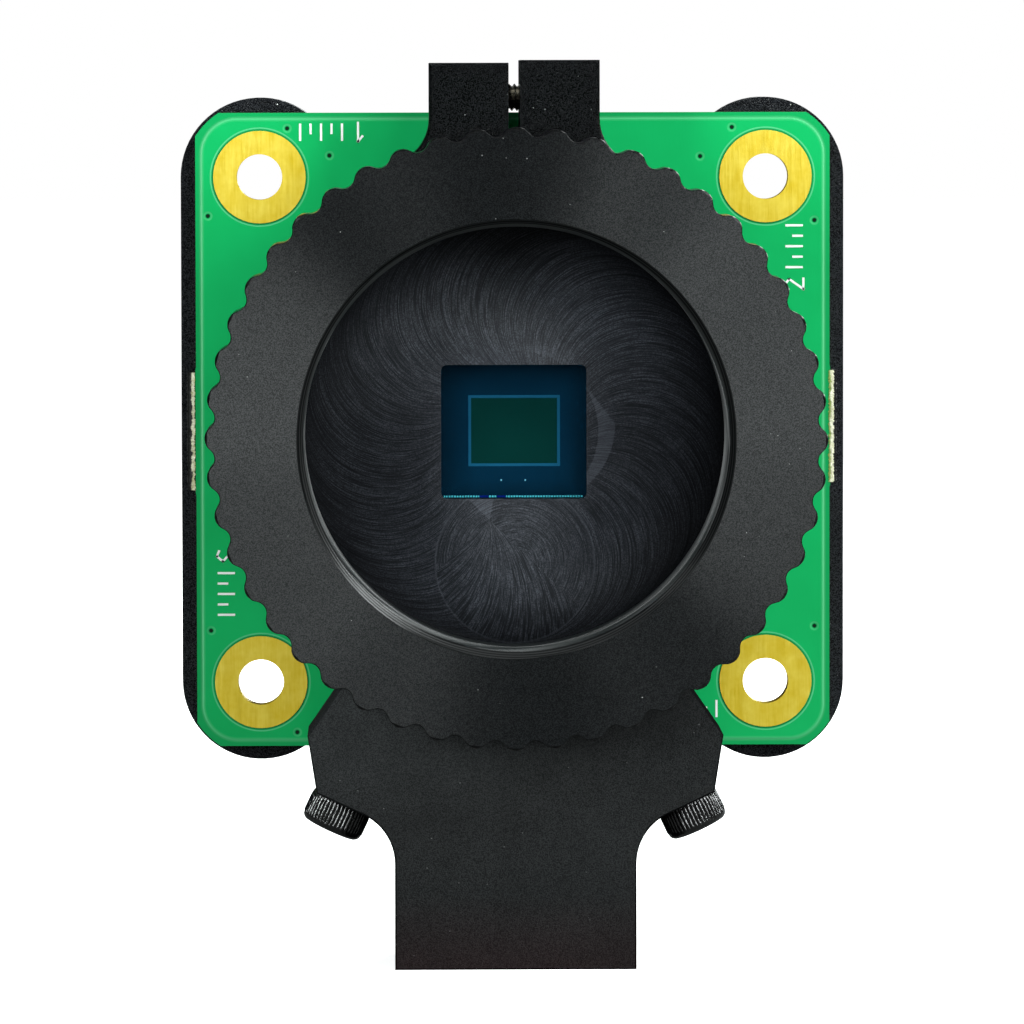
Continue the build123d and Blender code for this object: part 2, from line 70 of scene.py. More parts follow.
def node_span_mm(node):
    """Lowest and highest corners of a CAD node as (x, d, z) in millimetres."""
    low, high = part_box(node)
    return (
        Vector((low[0] / MM, level_mm(high[1]), (low[2] - axis_z) / MM)),
        Vector((high[0] / MM, level_mm(low[1]), (high[2] - axis_z) / MM)),
    )


def place(x, d, z):
    """Point of the shared frame for millimetres from the lens axis and the board's front face."""
    return Vector((x * MM, board_y - d * MM, axis_z + z * MM))


board_high = node_span_mm("circuit_board")[1]
ring_low, ring_high = node_span_mm("focus_ring")

# Sizes of what is drawn here only
ring_tip_mm = 18.0
knurl_depth_mm = 0.54
knurl_waves = 48
knurl_tip_share = 0.533
knurl_turn = -0.3
ring_edge_mm = 0.15
ring_edge_step_mm = 0.06
flange_thickness_mm = 5.0
sleeve_radius_mm = 14.2
sleeve_chamfer_mm = 0.2
relief_radius_mm = 13.0
mouth_radius_mm = 12.7
thread_bottom_mm = ring_high[1] - 6.8
lens_thread_pitch_mm = 25.4 / 32
bore_thread_mm = 4.0
bore_mouth_mm = 0.6
bore_crest_mm = 0.125
floor_level_mm = 3.2
floor_radius_mm = 14.3
board_half_mm = 18.8
pour_inset_mm = 0.36
pour_corner_mm = 2.1
pad_radius_mm = 2.74

# Broken panel tabs by side: reach from the lens axis, length, and height of the middle
stubs_mm = {-1: (19.3, 6.98, -0.07), 1: (19.19, 6.66, 0.16)}

# Small plated holes of the board, as (x, z) from the lens axis
via_places = (
    (-13.35, 17.88), (-18.06, 12.7), (-10.85, 16.27), (13.0, 17.91), (17.9, 12.39), (11.12, 16.19),
    (-17.96, -11.92), (-12.86, -17.99), (17.91, -11.73),
)

# Numbers printed at the holes: number, start of the mark (x, z), and the direction in which it reads
printed_marks = (
    (1, (-8.8, 18.2), (-1, 0)),
    (2, (17.25, 8.3), (0, 1)),
    (3, (-17.6, -7.2), (0, -1)),
    (4, (8.3, -17.2), (1, 0)),
)

# Cap screws: place and reach of those in the tripod mount, head radius and height, and looks
screw_angle = 25.0
screw_seat_mm = 23.93
mount_screw_tip_mm = 15.3
mount_head_mm = (1.87, 1.92)
lock_head_mm = (1.5, 1.6)
socket_key_mm = 1.5
black_screw = ("oxide", "black_oxide_steel", 46)
bright_screw = ("nickel", "nickel_plated_steel", 36)

# Marks on the sensor, from the lens axis: middle, half sizes, row of bond pads, dots
active_middle_mm = (0.05, -0.03)
active_half_mm = (2.55, 1.94)
border_half_mm = (2.715, 2.105)
bond_row_mm = (-3.93, 0.055)
bond_half_mm = 4.12
bond_pitch_mm = 0.16
key_half_mm = 0.28
key_places_mm = (-1.75, -0.71)
dot_places_mm = ((-0.72, -2.96), (0.705, -2.96))
dot_radius_mm = 0.05

# Path of the cutter that milled the housing's floor
cutter_radius_mm = 4.7
cutter_path_mm = 7.75
cutter_end_mm = (0.05, -7.75)
cutter_fan_mm = (-1.45, -5.2)
cutter_start_mm = ((0.25, 0.05), (1.3, 0.42))


# Shading
class Shade:
    """One material's node tree, with short calls for the nodes that it needs."""

    def __init__(self, name):
        self.material = bpy.data.materials.new(name)
        self.material.use_nodes = True
        self.tree = self.material.node_tree
        self.shader = self.tree.nodes["Principled BSDF"]
        self.output = self.tree.nodes["Material Output"]
        coordinates = self.tree.nodes.new("ShaderNodeTexCoord").outputs["Object"]
        shifted = self.vector("SUBTRACT", coordinates, (0, board_y, axis_z))
        self.point = self.vector("MULTIPLY", shifted, (1 / MM, -1 / MM, 1 / MM))
        self.x, self.d, self.z = self.split(self.point)

    def feed(self, socket, value):
        """Links a socket to an input, or sets the input to a constant."""
        if isinstance(value, bpy.types.NodeSocket):
            self.tree.links.new(value, socket)
        elif isinstance(value, (tuple, list)) and socket.type == "RGBA":
            socket.default_value = (*value[:3], 1)
        else:
            socket.default_value = value

    def math(self, operation, *values, clamp=False):
        node = self.tree.nodes.new("ShaderNodeMath")
        node.operation = operation
        node.use_clamp = clamp
        for socket, value in zip(node.inputs, values):
            self.feed(socket, value)
        return node.outputs[0]

    def vector(self, operation, *values):
        node = self.tree.nodes.new("ShaderNodeVectorMath")
        node.operation = operation
        for socket, value in zip(node.inputs, values):
            self.feed(socket, value)
        return node.outputs["Value" if operation in ("LENGTH", "DOT_PRODUCT", "DISTANCE") else "Vector"]

    def split(self, vector):
        node = self.tree.nodes.new("ShaderNodeSeparateXYZ")
        self.feed(node.inputs[0], vector)
        return node.outputs

    def join(self, x, y, z):
        node = self.tree.nodes.new("ShaderNodeCombineXYZ")
        for socket, value in zip(node.inputs, (x, y, z)):
            self.feed(socket, value)
        return node.outputs[0]

    def noise(self, vector, scale, detail=2.0, roughness=0.5):
        node = self.tree.nodes.new("ShaderNodeTexNoise")
        self.feed(node.inputs["Vector"], vector)
        node.inputs["Scale"].default_value = scale
        node.inputs["Detail"].default_value = detail
        node.inputs["Roughness"].default_value = roughness
        return node.outputs["Fac"]

    def cells(self, scale):
        """Random value for each of many small cells."""
        node = self.tree.nodes.new("ShaderNodeTexVoronoi")
        self.feed(node.inputs["Vector"], self.point)
        node.inputs["Scale"].default_value = scale
        return node.outputs["Color"]

    def spots(self, vector, scale, size):
        """Round spots scattered in space, as 1 in a spot and 0 outside."""
        node = self.tree.nodes.new("ShaderNodeTexVoronoi")
        self.feed(node.inputs["Vector"], vector)
        node.inputs["Scale"].default_value = scale
        return self.math("LESS_THAN", node.outputs["Distance"], size)

    def range(self, value, low, high, to_low=0.0, to_high=1.0):
        node = self.tree.nodes.new("ShaderNodeMapRange")
        for socket, number in zip(node.inputs, (value, low, high, to_low, to_high)):
            self.feed(socket, number)
        return node.outputs[0]

    def mix(self, factor, first, second):
        """Colour between two colours."""
        node = self.tree.nodes.new("ShaderNodeMix")
        node.data_type = "RGBA"
        self.feed(node.inputs[0], factor)
        self.feed(node.inputs[6], first)
        self.feed(node.inputs[7], second)
        return node.outputs[2]

    def mix_vector(self, factor, first, second):
        node = self.tree.nodes.new("ShaderNodeMix")
        node.data_type = "VECTOR"
        self.feed(node.inputs[0], factor)
        self.feed(node.inputs[4], first)
        self.feed(node.inputs[5], second)
        return node.outputs[1]

    def off_place(self, x, z):
        """Distance from a place beside the lens axis."""
        return self.vector("DISTANCE", self.join(self.x, 0.0, self.z), (x, 0.0, z))

    def from_circle(self, centre):
        """Distance outside the cutter's circle round a centre (x, z)."""
        return self.math("SUBTRACT", self.off_place(*centre), cutter_radius_mm)

    def grained(self, colour, grain, low, high):
        """Colour made darker and lighter by a grain."""
        gain = self.range(grain, 0.33, 0.67, low, high)
        return self.vector("MULTIPLY", colour, self.join(gain, gain, gain))

    def within(self, value, centre, half):
        return self.math("COMPARE", value, centre, half)

    def block(self, middle, half):
        """One inside a rectangle with a middle and half sizes as (x, z), and 0 outside."""
        across = self.within(self.x, middle[0], half[0])
        return self.math("MULTIPLY", across, self.within(self.z, middle[1], half[1]))

    def bump(self, height, depth_mm):
        node = self.tree.nodes.new("ShaderNodeBump")
        node.inputs["Strength"].default_value = 1.0
        node.inputs["Distance"].default_value = depth_mm * MM
        self.feed(node.inputs["Height"], height)
        return node.outputs[0]

    def set(self, **values):
        """Sets inputs of the main shader: base_color is Base Color, and so on."""
        for name, value in values.items():
            self.feed(self.shader.inputs[name.replace("_", " ").title().replace("Ior", "IOR")], value)

    def new_shader(self):
        """A second main shader, for a zone of its own."""
        self.shader = self.tree.nodes.new("ShaderNodeBsdfPrincipled")

    def blend(self, factor, first, second):
        """Output shader: the first where factor is 0, the second where it is 1."""
        node = self.tree.nodes.new("ShaderNodeMixShader")
        self.feed(node.inputs[0], factor)
        self.tree.links.new(first.outputs[0], node.inputs[1])
        self.tree.links.new(second.outputs[0], node.inputs[2])
        self.tree.links.new(node.outputs[0], self.output.inputs[0])

    def normal(self):
        """Direction that the surface faces, in the shared frame."""
        return self.split(self.tree.nodes.new("ShaderNodeNewGeometry").outputs["True Normal"])

    def turning(self):
        """Radius and angle (as turns) round the lens axis, and the outward direction across turning marks."""
        square_x = self.math("MULTIPLY", self.x, self.x)
        square_z = self.math("MULTIPLY", self.z, self.z)
        radius = self.math("SQRT", self.math("ADD", square_x, square_z))
        angle = self.math("DIVIDE", self.math("ARCTAN2", self.z, self.x), 2 * pi)
        outward = self.vector("NORMALIZE", self.join(self.x, 0.0, self.z))
        return radius, angle, outward


def dust(shade, base, amount):
    """Base colour with a few light specks of dust and a faint cloudiness."""
    gain = shade.range(shade.noise(shade.point, 0.45, 3.0), 0.3, 0.7, 1.0, 1.3)
    tone = shade.vector("MULTIPLY", base, shade.join(gain, gain, gain))
    speck = shade.spots(shade.point, 1.4, 0.045)
    fine = shade.spots(shade.vector("ADD", shade.point, (7.3, 1.9, 4.4)), 1.4 * 3.1, 0.05)
    keep = shade.math("GREATER_THAN", shade.noise(shade.point, 0.8, 1.0), 0.52)
    both = shade.math("MULTIPLY", shade.math("MAXIMUM", speck, shade.math("MULTIPLY", fine, 0.35)), keep)
    return shade.mix(shade.math("MULTIPLY", both, amount), tone, (0.55, 0.56, 0.55))


def black_satin(name, base, roughness, grain_mm=0.010, specular=0.5, dusty=0.35):
    """Black coated metal with a fine grain."""
    shade = Shade(name)
    grain = shade.cells(20.0)
    cloud = shade.noise(shade.point, 2.2, 3.0)
    shade.set(
        base_color=shade.grained(dust(shade, base, dusty), grain, 0.3, 2.1),
        roughness=shade.range(cloud, 0.3, 0.7, roughness - 0.04, roughness + 0.05),
        specular_ior_level=shade.range(grain, 0.33, 0.67, specular * 0.3, specular * 1.8),
        normal=shade.bump(grain, grain_mm),
    )
    return shade


def coated_mount():
    """Black coating of the tripod mount, with painted light and shade: paler near the ring, far more so on
    the left, darker towards the bottom and on the sides and edges.
    """
    shade = Shade("mount_black")
    grain = shade.cells(20.0)
    # Painted light: paler near the ring, much paler on the left of the wings than on the right
    left = shade.range(shade.z, -22.5, -16.5, 0.98, 3.5)
    right = shade.range(shade.z, -21.0, -16.5, 0.85, 1.15)
    rightward = shade.range(shade.x, -2.0, 8.0)
    painted_wing_light = shade.math("ADD", left, shade.math("MULTIPLY", rightward, shade.math("SUBTRACT", right, left)))
    # Painted shade: darker towards the bottom
    low = shade.range(shade.z, -31.0, -24.5, 0.50, 0.86)
    # Painted shade on the sides and broken edges, which do not face the front or back; they also shine less
    facing = shade.range(shade.math("ABSOLUTE", shade.normal()[1]), 0.80, 0.97)
    shown = shade.range(facing, 0.0, 1.0, 0.6, 1.0)
    tone = shade.math("MULTIPLY", shade.math("MULTIPLY", painted_wing_light, low), shown)
    warm = shade.range(shade.z, -31.0, -27.0, 1.0, 0.0)
    base = shade.mix(warm, (0.0088, 0.0094, 0.0096), (0.0130, 0.0074, 0.0076))
    dust_and_painted_light = shade.vector("MULTIPLY", dust(shade, base, 0.2), shade.join(tone, tone, tone))
    cloud = shade.noise(shade.point, 2.2, 3.0)
    shade.set(
        base_color=shade.grained(dust_and_painted_light, grain, 0.68, 1.36),
        roughness=shade.range(cloud, 0.3, 0.7, 0.36, 0.45),
        specular_ior_level=shade.math("MULTIPLY", facing, shade.range(grain, 0.33, 0.67, 0.09, 0.21)),
        normal=shade.bump(grain, 0.008),
    )
    return shade.material


def turned_ring():
    """Black anodised and turned: grooves round the axis spread the light to both sides."""
    shade = Shade("ring_black")
    radius, angle, outward = shade.turning()
    across = shade.join(shade.math("MULTIPLY", radius, 3.0), shade.d, shade.math("MULTIPLY", angle, 1.5))
    groove = shade.noise(across, 3.0, 3.0, 0.7)
    grain = shade.cells(21.0)
    height = shade.math("ADD", groove, shade.math("MULTIPLY", grain, 0.5))
    shade.set(
        base_color=shade.grained(dust(shade, (0.0014, 0.0018, 0.0021), 0.3), grain, 0.5, 1.8),
        roughness=0.36,
        specular_ior_level=shade.range(grain, 0.30, 0.70, 0.33, 0.69),
        anisotropic=0.96,
        tangent=outward,
        normal=shade.bump(height, 0.003),
    )
    return shade.material


def bored_thread():
    """Bore of the ring: dark where the thread opens at the mouth, satin turned wall below it."""
    shade = Shade("bore_black")
    mouth_end = ring_high[1] - bore_mouth_mm
    wall = shade.range(shade.d, mouth_end - 0.05, mouth_end, 1.0, 0.0)
    crests = shade.math("SINE", shade.math("MULTIPLY", shade.turning()[0], 2 * pi / bore_crest_mm))
    mouth = shade.range(crests, -1.0, 1.0, 0.07, 0.42)
    grain = shade.noise(shade.point, 6.0, 3.0, 0.7)
    shade.set(
        base_color=shade.mix(wall, (0.0022, 0.0025, 0.0026), (0.012, 0.014, 0.014)),
        roughness=shade.range(wall, 0.0, 1.0, 0.32, 0.60),
        specular_ior_level=shade.range(wall, 0.0, 1.0, mouth, 0.95),
        anisotropic=shade.range(wall, 0.0, 1.0, 0.0, 0.93),
        tangent=(0.0, 1.0, 0.0),
        normal=shade.bump(grain, 0.004),
    )
    return shade.material


def milled_housing():
    """Black anodised housing whose floor shows the arcs of the cutter that milled it."""
    shade = black_satin("housing_black", (0.0009, 0.0011, 0.0013), 0.32, specular=0.10)
    walls = shade.shader
    radius = shade.turning()[0]
    # The cutter's centre goes round the axis, and each arc is its trailing edge at one moment
    power = cutter_path_mm ** 2 - cutter_radius_mm ** 2
    squares = shade.math("ADD", shade.math("MULTIPLY", radius, radius), power)
    reach = shade.math("DIVIDE", squares, shade.math("MULTIPLY", radius, 2 * cutter_path_mm))
    lag = shade.math("ARCCOSINE", shade.math("MINIMUM", shade.math("MAXIMUM", reach, -1.0), 1.0))
    turn = shade.math("SUBTRACT", shade.math("ARCTAN2", shade.z, shade.x), lag)
    centre_x = shade.math("MULTIPLY", shade.math("COSINE", turn), cutter_path_mm)
    centre_z = shade.math("MULTIPLY", shade.math("SINE", turn), cutter_path_mm)
    sweep_x = shade.math("SUBTRACT", shade.x, centre_x)
    sweep_z = shade.math("SUBTRACT", shade.z, centre_z)
    # Where the cutter stopped, its marks fan out of one point inside its last circle
    fan_x = shade.math("SUBTRACT", shade.x, cutter_fan_mm[0])
    fan_z = shade.math("SUBTRACT", shade.z, cutter_fan_mm[1])
    fan_reach = shade.vector("LENGTH", shade.join(fan_x, 0.0, fan_z))
    fan_down = shade.math("ARCTAN2", fan_x, shade.math("MULTIPLY", fan_z, -1.0))
    fan_up = shade.math("ARCTAN2", fan_z, fan_x)
    from_end = shade.from_circle(cutter_end_mm)
    last = shade.math("LESS_THAN", from_end, 0.0)
    fanned = shade.range(shade.math("ABSOLUTE", fan_down), 0.5, 1.1, 1.0, 0.0)
    sweep_marks = shade.join(
        shade.math("MULTIPLY", shade.math("SINE", turn), 3.0),
        shade.math("MULTIPLY", radius, 0.008),
        shade.math("MULTIPLY", shade.math("COSINE", turn), 3.0),
    )
    curl = shade.math("ADD", fan_down, shade.math("MULTIPLY", fan_reach, 0.07))
    fan_marks = shade.join(shade.math("MULTIPLY", curl, 0.9), shade.math("MULTIPLY", fan_reach, 0.01), 9.0)
    end_x = shade.math("SUBTRACT", shade.x, cutter_end_mm[0])
    end_z = shade.math("SUBTRACT", shade.z, cutter_end_mm[1])
    end_turn = shade.math("MULTIPLY", shade.math("ARCTAN2", end_z, end_x), 0.03)
    end_marks = shade.join(shade.math("MULTIPLY", from_end, 0.5), end_turn, 4.0)
    end_pattern = shade.mix_vector(shade.math("ROUND", fanned), end_marks, fan_marks)
    pattern = shade.mix_vector(last, sweep_marks, end_pattern)
    broad = shade.noise(pattern, 3.0, 3.0, 0.6)
    fine = shade.noise(pattern, 42.0, 2.0, 0.8)
    hair = shade.noise(pattern, 70.0, 1.0, 0.6)
    grain = shade.cells(17.0)
    hairs = shade.math("MULTIPLY", shade.range(hair, 0.50, 0.66), 0.8)
    lines = shade.math("MAXIMUM", shade.range(fine, 0.47, 0.68), hairs)
    streak = shade.math("MULTIPLY", lines, shade.range(broad, 0.30, 0.62, 0.72, 1.0))
    # Edges of the last circle, and the slivers left between the first two circles and above the fan
    edge = shade.range(shade.math("ABSOLUTE", from_end), 0.0, 0.08, 0.4, 0.0)
    outside = shade.range(shade.from_circle(cutter_start_mm[0]), 0.0, 0.06)
    inside = shade.range(shade.from_circle(cutter_start_mm[1]), -0.06, 0.0, 1.0, 0.0)
    slope = shade.vector("DOT_PRODUCT", shade.point, (0.79, 0.0, 0.61))
    corner = shade.range(slope, 4.95, 5.05, 1.0, 0.10)
    lower = shade.range(shade.z, 2.2, 3.2, 1.0, 0.22)
    between = shade.math("MULTIPLY", outside, inside)
    sliver = shade.math("MULTIPLY", between, shade.math("MULTIPLY", corner, lower))
    wedge = shade.math("MULTIPLY", shade.within(fan_up, 1.86, 0.5), shade.math("LESS_THAN", fan_reach, 2.3))
    rubbed = shade.range(lines, 0.0, 1.0, 0.5, 1.0)
    pieces = shade.math("MAXIMUM", shade.math("MULTIPLY", sliver, 0.72), shade.math("MULTIPLY", wedge, 0.5))
    cut = shade.math("MULTIPLY", pieces, rubbed)
    worn = shade.math("MULTIPLY", streak, shade.range(grain, 0.3, 0.7, 0.35, 1.3))
    bright = shade.math("ADD", shade.math("ADD", worn, edge), cut, clamp=True)
    # Painted shade on the floor towards the wall, darkest at the upper right, and painted light: lighter
    # towards the top, darker at both sides
    off_middle = shade.off_place(-0.7, -0.4)
    leftward = shade.range(shade.x, -9.5, -2.5, 0.48, 1.0)
    rightward = shade.range(shade.x, 3.0, 9.0, 1.0, 0.62)
    painted_side_shade = shade.math("MULTIPLY", leftward, rightward)
    upward = shade.math("MULTIPLY", shade.range(shade.z, 0.0, 6.0, 1.0, 1.7), painted_side_shade)
    painted_shade_and_light = shade.math("MULTIPLY", shade.range(off_middle, 9.6, 13.3, 1.0, 0.08), upward)
    shown = shade.mix(bright, (0.0092, 0.0104, 0.0130), (0.050, 0.0555, 0.070))
    tangent = shade.vector("NORMALIZE", shade.join(sweep_x, 0.0, sweep_z))
    height = shade.math("ADD", shade.math("ADD", broad, fine), shade.math("MULTIPLY", grain, 0.6))
    shade.new_shader()
    shade.set(
        base_color=shade.vector("MULTIPLY", shown, shade.join(painted_shade_and_light, painted_shade_and_light, painted_shade_and_light)),
        roughness=0.42,
        specular_ior_level=shade.math("MULTIPLY", painted_shade_and_light, shade.range(bright, 0.0, 1.0, 0.15, 0.45)),
        anisotropic=0.6,
        tangent=tangent,
        normal=shade.bump(height, 0.010),
    )
    level = shade.within(shade.d, floor_level_mm, 0.03)
    on_floor = shade.math("MULTIPLY", level, shade.math("LESS_THAN", radius, floor_radius_mm))
    shade.blend(on_floor, walls, shade.shader)
    return shade.material


def solder_mask():
    """Green mask over copper, raised a little over the copper: a painted highlight where the copper ends,
    rings round the pads, and painted shade in the small holes and past the broken edges.
    """
    shade = Shade("board_green")
    reach_x = shade.math("ABSOLUTE", shade.x)
    reach_z = shade.math("ABSOLUTE", shade.z)
    straight_mm = board_half_mm - pour_inset_mm - pour_corner_mm
    over_x = shade.math("MAXIMUM", shade.math("SUBTRACT", reach_x, straight_mm), 0.0)
    over_z = shade.math("MAXIMUM", shade.math("SUBTRACT", reach_z, straight_mm), 0.0)
    past_corner = shade.vector("LENGTH", shade.join(over_x, 0.0, over_z))
    from_edge = shade.math("SUBTRACT", past_corner, pour_corner_mm)
    pour = shade.range(from_edge, -0.05, 0.05, 1.0, 0.0)
    # Painted highlight along the line where the copper ends
    line = shade.range(shade.math("ABSOLUTE", from_edge), 0.0, 0.17, 1.0, 0.0)
    half_mm = hole_spacing_mm / 2
    pad_x = shade.math("SUBTRACT", reach_x, half_mm)
    pad_z = shade.math("SUBTRACT", reach_z, half_mm)
    from_pad = shade.vector("LENGTH", shade.join(pad_x, 0.0, pad_z))
    off_gap = shade.math("ABSOLUTE", shade.math("SUBTRACT", from_pad, pad_radius_mm + 0.04))
    off_ring = shade.math("ABSOLUTE", shade.math("SUBTRACT", from_pad, pad_radius_mm + 0.16))
    gap = shade.range(off_gap, 0.0, 0.09, 1.0, 0.0)
    ring = shade.range(off_ring, 0.0, 0.06, 1.0, 0.0)
    cloud = shade.noise(shade.point, 0.12, 3.0, 0.6)
    weave = shade.noise(shade.vector("MULTIPLY", shade.point, (6.0, 6.0, 1.2)), 1.0, 2.0)
    green = shade.mix(shade.range(cloud, 0.3, 0.7), (0.003, 0.33, 0.083), (0.004, 0.38, 0.102))
    bare = shade.mix(pour, (0.003, 0.29, 0.075), green)
    painted_edge_highlight = shade.mix(shade.math("MULTIPLY", line, 0.19), bare, (0.28, 0.72, 0.45))
    ringed = shade.mix(shade.math("MULTIPLY", ring, 0.35), painted_edge_highlight, (0.28, 0.72, 0.45))
    dark = shade.mix(shade.math("MULTIPLY", gap, 0.8), ringed, (0.004, 0.10, 0.03))
    from_via = None
    for x, z in via_places:
        reach = shade.off_place(x, z)
        from_via = reach if from_via is None else shade.math("MINIMUM", from_via, reach)
    off_rim = shade.math("ABSOLUTE", shade.math("SUBTRACT", from_via, 0.22))
    via_rim = shade.range(off_rim, 0.0, 0.08, 0.16, 0.0)
    rimmed = shade.mix(via_rim, dark, (0.25, 0.62, 0.40))
    # Painted shade in the small holes, each of which is also a slight dip
    pierced = shade.mix(shade.range(from_via, 0.10, 0.16, 1.0, 0.0), rimmed, (0.002, 0.012, 0.006))
    side = shade.within(shade.d, -0.7, 0.68)
    laminate = shade.mix(side, pierced, (0.20, 0.27, 0.11))
    # Past the broken edges the stubs turn near black: painted shade
    broken = shade.range(reach_x, board_half_mm + 0.02, board_half_mm + 0.06)
    sunk = shade.math("MULTIPLY", shade.range(from_via, 0.15, 0.3), 0.6)
    raised = shade.math("ADD", shade.math("MULTIPLY", pour, 0.8), shade.math("MULTIPLY", weave, 0.12))
    height = shade.math("ADD", raised, sunk)
    shade.set(
        base_color=shade.mix(broken, laminate, (0.007, 0.007, 0.006)),
        roughness=0.3,
        specular_ior_level=0.22,
        coat_weight=0.08,
        coat_roughness=0.15,
        normal=shade.bump(height, 0.03),
    )
    return shade.material


def gold_pads():
    """Gold plating with fine upright brush marks."""
    shade = Shade("pad_gold")
    brush = shade.noise(shade.vector("MULTIPLY", shade.point, (7.0, 7.0, 0.35)), 1.6, 4.0, 0.7)
    blotch = shade.noise(shade.point, 0.8, 3.0, 0.6)
    tone = shade.math("ADD", shade.math("MULTIPLY", brush, 0.4), shade.math("MULTIPLY", blotch, 0.6))
    shade.set(
        base_color=shade.mix(shade.range(tone, 0.35, 0.65), (0.66, 0.46, 0.008), (0.78, 0.61, 0.07)),
        metallic=0.5,
        roughness=shade.range(brush, 0.3, 0.7, 0.36, 0.5),
        anisotropic=0.5,
        tangent=(1.0, 0.0, 0.0),
        normal=shade.bump(brush, 0.004),
    )
    return shade.material


def sensor_top():
    """Image sensor: green active area, blue border, navy surround and a row of bond pads."""
    shade = Shade("sensor_surface")
    active = shade.block(active_middle_mm, active_half_mm)
    border = shade.block(active_middle_mm, border_half_mm)
    row_z, row_half = bond_row_mm
    row = shade.block((0.0, row_z), (bond_half_mm, row_half))
    pitch = shade.math("FRACT", shade.math("MULTIPLY", shade.math("ADD", shade.x, 20.0), 1 / bond_pitch_mm))
    pads = shade.math("MULTIPLY", row, shade.math("LESS_THAN", pitch, 0.68))
    keys = shade.math("MAXIMUM", *[shade.block((x, row_z), (key_half_mm, row_half)) for x in key_places_mm])
    dots = shade.math("MAXIMUM", *[
        shade.math("LESS_THAN", shade.off_place(x, z), dot_radius_mm) for x, z in dot_places_mm
    ])
    reach = shade.math("MAXIMUM", shade.math("ABSOLUTE", shade.x), shade.math("ABSOLUTE", shade.z))
    navy = shade.mix(shade.range(reach, 2.9, 4.25), (0.0018, 0.031, 0.058), (0.0010, 0.014, 0.026))
    wires = shade.noise(shade.vector("MULTIPLY", shade.point, (5.0, 1.0, 1.0)), 2.2, 3.0, 0.7)
    surround = shade.mix(shade.range(wires, 0.55, 0.8), navy, (0.003, 0.046, 0.082))
    blue = shade.mix(border, surround, (0.030, 0.150, 0.235))
    face = shade.mix(active, blue, (0.0024, 0.046, 0.030))
    padded = shade.mix(pads, face, (0.28, 0.85, 0.80))
    keyed = shade.mix(keys, padded, (0.004, 0.012, 0.20))
    shade.set(
        base_color=shade.mix(dots, keyed, (0.7, 0.9, 0.95)),
        roughness=0.3,
        specular_ior_level=0.3,
    )
    return shade.material


def thin_glass(name, tint, shine):
    """Flat coated glass: it tints what lies behind it and adds a faint sheen."""
    shade = Shade(name)
    clear = shade.tree.nodes.new("ShaderNodeBsdfTransparent")
    smear = shade.noise(shade.point, 0.35, 3.0)
    shade.feed(clear.inputs["Color"], shade.mix(smear, tint, tuple(c * 0.94 for c in tint)))
    gloss = shade.tree.nodes.new("ShaderNodeBsdfGlossy")
    gloss.inputs["Roughness"].default_value = 0.06
    gloss.inputs["Color"].default_value = (0.6, 0.85, 1.0, 1)
    shade.blend(shine, clear, gloss)
    return shade.material


def plain(name, base, roughness, metallic=0.0, grain=8.0, depth_mm=0.006, **more):
    """Moulded or plated surface with its grain, a little cloudy."""
    shade = Shade(name)
    cloud = shade.noise(shade.point, 0.9, 3.0)
    smudge = shade.noise(shade.point, 3.0, 2.0)
    darker = tuple(c * 0.82 for c in base)
    shade.set(
        base_color=shade.mix(shade.range(cloud, 0.3, 0.7), darker, base),
        metallic=metallic,
        roughness=shade.range(smudge, 0.3, 0.7, roughness - 0.05, roughness + 0.05),
        normal=shade.bump(shade.noise(shade.point, grain, 3.0, 0.65), depth_mm),
        **more,
    )
    return shade.material


def torn_fibre():
    """Broken edge of the board: resin next to the board, then pale glass fibre, then torn ends painted near
    black as shade.
    """
    shade = Shade("torn_fibre")
    layers = shade.noise(shade.vector("MULTIPLY", shade.point, (2.0, 9.0, 1.2)), 1.6, 5.0, 0.75)
    crumbs = shade.noise(shade.point, 5.0, 4.0, 0.7)
    ragged = shade.range(shade.noise(shade.point, 2.4, 4.0, 0.7), 0.3, 0.7, -0.09, 0.09)
    out = shade.math("ADD", shade.math("SUBTRACT", shade.math("ABSOLUTE", shade.x), board_half_mm), ragged)
    pale = shade.mix(shade.range(layers, 0.35, 0.62), (0.42, 0.40, 0.20), (0.80, 0.80, 0.62))
    resin = shade.mix(shade.range(out, 0.02, 0.12), (0.22, 0.30, 0.06), pale)
    # Painted shade: the outer torn ends turn near black
    ends = shade.mix(shade.range(out, 0.24, 0.30), resin, (0.006, 0.006, 0.006))
    shade.set(
        base_color=ends,
        roughness=0.75,
        normal=shade.bump(shade.math("ADD", layers, crumbs), 0.06),
    )
    return shade.material


